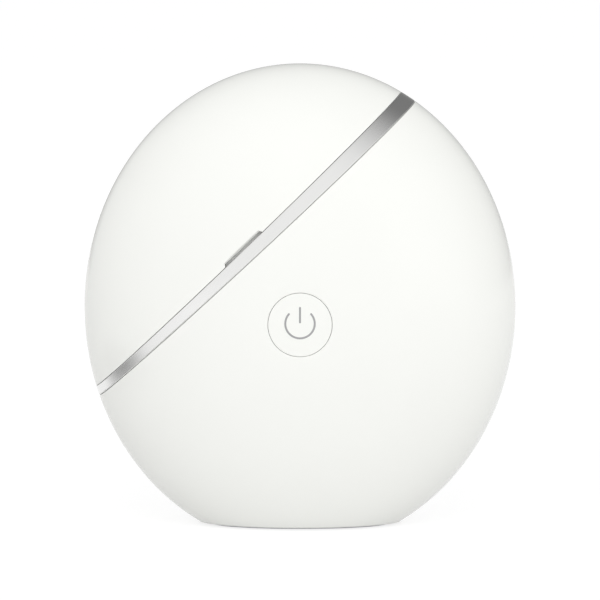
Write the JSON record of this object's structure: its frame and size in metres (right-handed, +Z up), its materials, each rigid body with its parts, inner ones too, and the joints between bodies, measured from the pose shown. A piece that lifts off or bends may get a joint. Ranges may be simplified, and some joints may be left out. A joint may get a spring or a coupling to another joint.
{
  "type": "facial toning device",
  "caption": "Upright pebble-shaped facial toning device with ball electrodes under a slanted pull-off cap, a metal band, a power button and a charging socket.",
  "frame": {"origin": "middle of the base, on the surface the device stands on", "axes": "+Z up along the height, front with the power button towards -Y, +X to the viewer's right when looking at the front, where the slanted band's upper end is"},
  "size_m": [0.096, 0.04, 0.1031],
  "materials": {
    "front_shell": "glossy white moulded plastic",
    "rear_shell": "glossy white moulded plastic",
    "trim_ring": "plated satin silver",
    "head_deck": "semi-gloss white moulded plastic",
    "upper_electrode": "polished chrome",
    "lower_electrode": "polished chrome",
    "electrode_seals": "matte silicone",
    "electrode_tags": "stamped",
    "electrode_nuts": "plated",
    "deck_magnets": "nickel plated",
    "cap_shell": "glossy white moulded plastic",
    "cap_liner": "semi-gloss white moulded plastic",
    "cap_magnets": "nickel plated",
    "power_button": "glossy white moulded plastic",
    "tact_switch": "moulded",
    "switch_plunger": "moulded",
    "power_led": "clear",
    "main_board": "solder mask",
    "board_chips": "moulded",
    "boost_coil": "ferrite",
    "capacitor": "sleeved can",
    "buzzer": "moulded",
    "chassis": "moulded",
    "battery": "pouch foil",
    "battery_foam": "foam tape",
    "charge_board": "solder mask",
    "charge_jack": "moulded",
    "foot_pad": "matte silicone",
    "deck_screws": "zinc plated",
    "base_screws": "zinc plated",
    "board_screws": "zinc plated",
    "electrode_leads": "wire insulation",
    "battery_leads": "wire insulation",
    "charge_leads": "wire insulation"
  },
  "bodies": {
    "body": {"front_shell": "front_shell", "rear_shell": "rear_shell", "trim_ring": "trim_ring", "head_deck": "head_deck", "upper_electrode": "upper_electrode", "lower_electrode": "lower_electrode", "electrode_seals": "electrode_seals", "electrode_tags": "electrode_tags", "electrode_nuts": "electrode_nuts", "deck_magnets": "deck_magnets", "tact_switch": "tact_switch", "power_led": "power_led", "main_board": "main_board", "board_chips": "board_chips", "boost_coil": "boost_coil", "capacitor": "capacitor", "buzzer": "buzzer", "chassis": "chassis", "battery": "battery", "battery_foam": "battery_foam", "charge_board": "charge_board", "charge_jack": "charge_jack", "foot_pad": "foot_pad", "deck_screws": "deck_screws", "base_screws": "base_screws", "board_screws": "board_screws", "electrode_leads": "electrode_leads", "battery_leads": "battery_leads", "charge_leads": "charge_leads"},
    "cap": {"cap_shell": "cap_shell", "cap_liner": "cap_liner", "cap_magnets": "cap_magnets"},
    "button": {"power_button": "power_button", "switch_plunger": "switch_plunger"}
  },
  "joints": [
    {"name": "cap_pull", "type": "slide", "parent": "body", "child": "cap", "axis": [-0.6947, 0, 0.7193], "range_m": [0, 0.04]},
    {"name": "button_press", "type": "slide", "parent": "body", "child": "button", "axis": [0, 1, 0], "range_m": [0, 0.0005], "stiffness_N_per_m": 2000}
  ]
}
